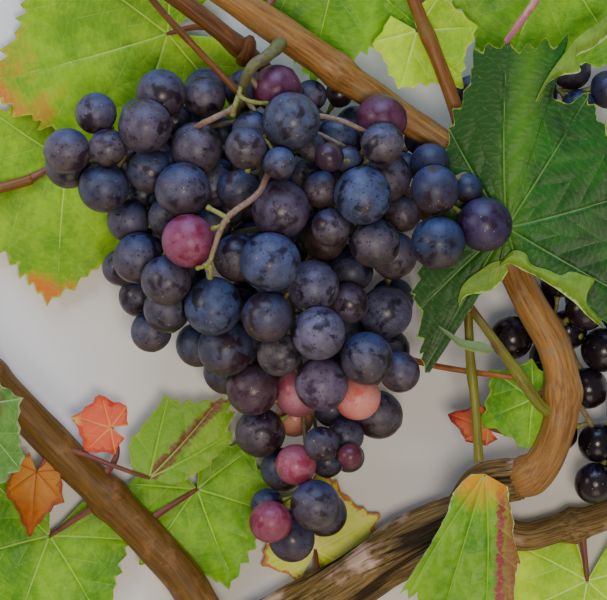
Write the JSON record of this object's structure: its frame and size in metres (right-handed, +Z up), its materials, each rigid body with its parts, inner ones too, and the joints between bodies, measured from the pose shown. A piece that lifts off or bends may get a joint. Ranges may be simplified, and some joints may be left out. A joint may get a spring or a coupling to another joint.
{
  "type": "cut grapevine cane with ripening bunch",
  "caption": "Cut piece of grapevine lying on its back: old arm, bearing cane with a ripening bunch of grapes, smaller bunches, shoots and leaves.",
  "frame": {"origin": "on the ground under the middle of the part's outline seen from above", "axes": "+Z up from the ground the part lies on, +Y towards the tip of the bearing cane, +X towards the sawn right end of the arm"},
  "size_m": [0.2604, 0.2819, 0.0737],
  "materials": {
    "old_bark": "rough peeling bark",
    "cane": "smooth ribbed one-year cane",
    "green_stem": "green stem",
    "stalk": "pinkish-brown stalk",
    "berry": "waxy blue bloom over dark skin",
    "dark_berry": "dark glossy skin",
    "leaf": "veined green leaf",
    "pale_leaf": "yellow-green leaf",
    "red_leaf": "autumn-tinted leaf"
  },
  "bodies": {
    "root": {"arm_left": "old_bark", "arm_right": "old_bark", "spur": "old_bark", "cane_bend_low": "cane", "cane_bend_high": "cane", "bearing_cane": "cane", "bearing_cane_tip": "cane", "top_shoot": "cane", "low_cane": "cane", "left_cane": "cane", "left_shoot": "cane", "green_shoot": "green_stem", "hanging_stem": "green_stem", "red_stem": "stalk", "rachis": "stalk", "bunch_heart": "berry", "bunch_right_top": "berry", "bunch_left_middle": "berry", "bunch_left_low": "berry", "bunch_top": "berry", "bunch_right_low": "berry", "bunch_low": "berry", "bunch_left_top": "berry", "bunch_left_wing": "berry", "bunch_right_wing": "berry", "bunch_tail": "berry", "second_bunch_high": "dark_berry", "second_bunch_low": "dark_berry", "upper_bunch": "dark_berry", "leaf_big": "leaf", "leaf_left_high": "pale_leaf", "leaf_left_low": "pale_leaf", "leaf_top": "pale_leaf", "leaf_top_right": "leaf", "leaf_lime": "pale_leaf", "leaf_hanging": "leaf", "leaf_low_right": "pale_leaf", "leaf_left_edge": "leaf", "leaf_left_bottom": "pale_leaf", "leaf_mid_left": "leaf", "leaf_low_middle": "leaf", "leaf_yellow": "pale_leaf", "leaf_orange": "red_leaf", "leaf_brown": "red_leaf", "leaf_small": "leaf", "leaf_red": "red_leaf"}
  },
  "joints": []
}
